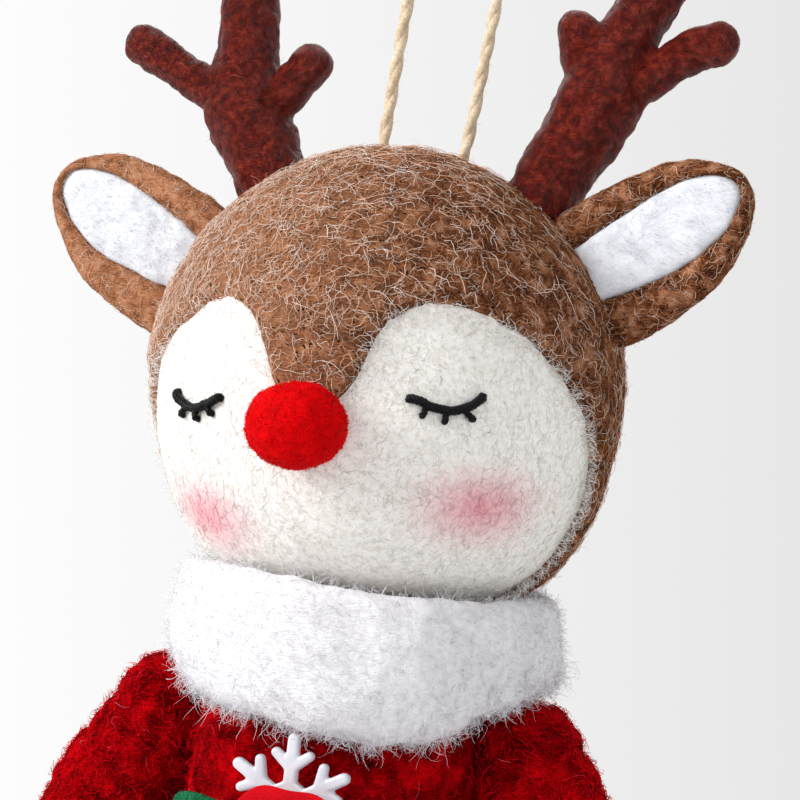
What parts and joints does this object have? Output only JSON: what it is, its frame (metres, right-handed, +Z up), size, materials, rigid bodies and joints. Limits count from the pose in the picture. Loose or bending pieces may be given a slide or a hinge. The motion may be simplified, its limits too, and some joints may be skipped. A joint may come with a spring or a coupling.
{
  "type": "hanging felt reindeer ornament",
  "caption": "Felted wool reindeer with red nose, antlers, fur collar and red boucle coat, hung on a loop of twine; arms turn at the shoulders and legs dangle.",
  "frame": {"origin": "underside of the twine loop's arch, where a hook or a twig holds the ornament", "axes": "+Z up along the reindeer, the reindeer faces -Y, its own left is +X"},
  "size_m": [0.09, 0.0639, 0.1909],
  "materials": {
    "face_wool": "off-white needle-felted wool, pink blush on the cheeks",
    "hood_wool": "brown felted wool under fine curly light fibres",
    "pompom": "short dense red fuzz",
    "black_thread": "matt black embroidery thread",
    "ear_lining": "white combed wool",
    "antler_wool": "dark red-brown felted wool, lumpy, slight sheen",
    "wire": "drawn wire",
    "twine": "natural two-ply twine",
    "dowel": "bare wood",
    "fur": "white long-pile fur cloth",
    "stuffing": "firm wool stuffing",
    "coat_fleece": "crimson boucle fleece",
    "red_thread": "strong sewing thread",
    "flake_plastic": "white moulded plastic, satin",
    "rosette_cloth": "folded red ribbon",
    "leaf_felt": "green craft felt",
    "hoof_wool": "dark brown felted wool"
  },
  "bodies": {
    "root": {"head_core": "stuffing", "face_felt": "face_wool", "hood_felt": "hood_wool", "nose_pompom": "pompom", "eye_stitch_left": "black_thread", "eye_stitch_right": "black_thread", "ear_outer_left": "hood_wool", "ear_outer_right": "hood_wool", "ear_inner_left": "ear_lining", "ear_inner_right": "ear_lining", "antler_left": "antler_wool", "antler_right": "antler_wool", "antler_wire_left": "wire", "antler_wire_right": "wire", "hang_twine": "twine", "twine_knot": "twine", "neck_dowel": "dowel", "fur_collar": "fur", "torso_core": "stuffing", "coat_body": "coat_fleece", "shoulder_thread": "red_thread", "snowflake": "flake_plastic", "rosette": "rosette_cloth", "leaf": "leaf_felt"},
    "arm_left": {"sleeve_left": "coat_fleece", "hand_left": "hood_wool"},
    "arm_right": {"sleeve_right": "coat_fleece", "hand_right": "hood_wool"},
    "lower_leg_left": {"leg_left": "hood_wool", "leg_thread_left": "black_thread", "hoof_left": "hoof_wool"},
    "lower_leg_right": {"leg_right": "hood_wool", "leg_thread_right": "black_thread", "hoof_right": "hoof_wool"}
  },
  "joints": [
    {"name": "shoulder_left", "type": "hinge", "parent": "root", "child": "arm_left", "pos_m": [0.02091, -0.0098, -0.1176], "axis": [1, 0, 0], "range_deg": [-60, 30]},
    {"name": "shoulder_right", "type": "hinge", "parent": "root", "child": "arm_right", "pos_m": [-0.02571, -0.0098, -0.1176], "axis": [1, 0, 0], "range_deg": [-60, 30]},
    {"name": "hip_left", "type": "hinge", "parent": "root", "child": "lower_leg_left", "pos_m": [0.0056, -0.0098, -0.1596], "axis": [1, 0, 0], "range_deg": [-35, 35]},
    {"name": "hip_right", "type": "hinge", "parent": "root", "child": "lower_leg_right", "pos_m": [-0.0104, -0.0098, -0.1596], "axis": [1, 0, 0], "range_deg": [-35, 35]}
  ]
}
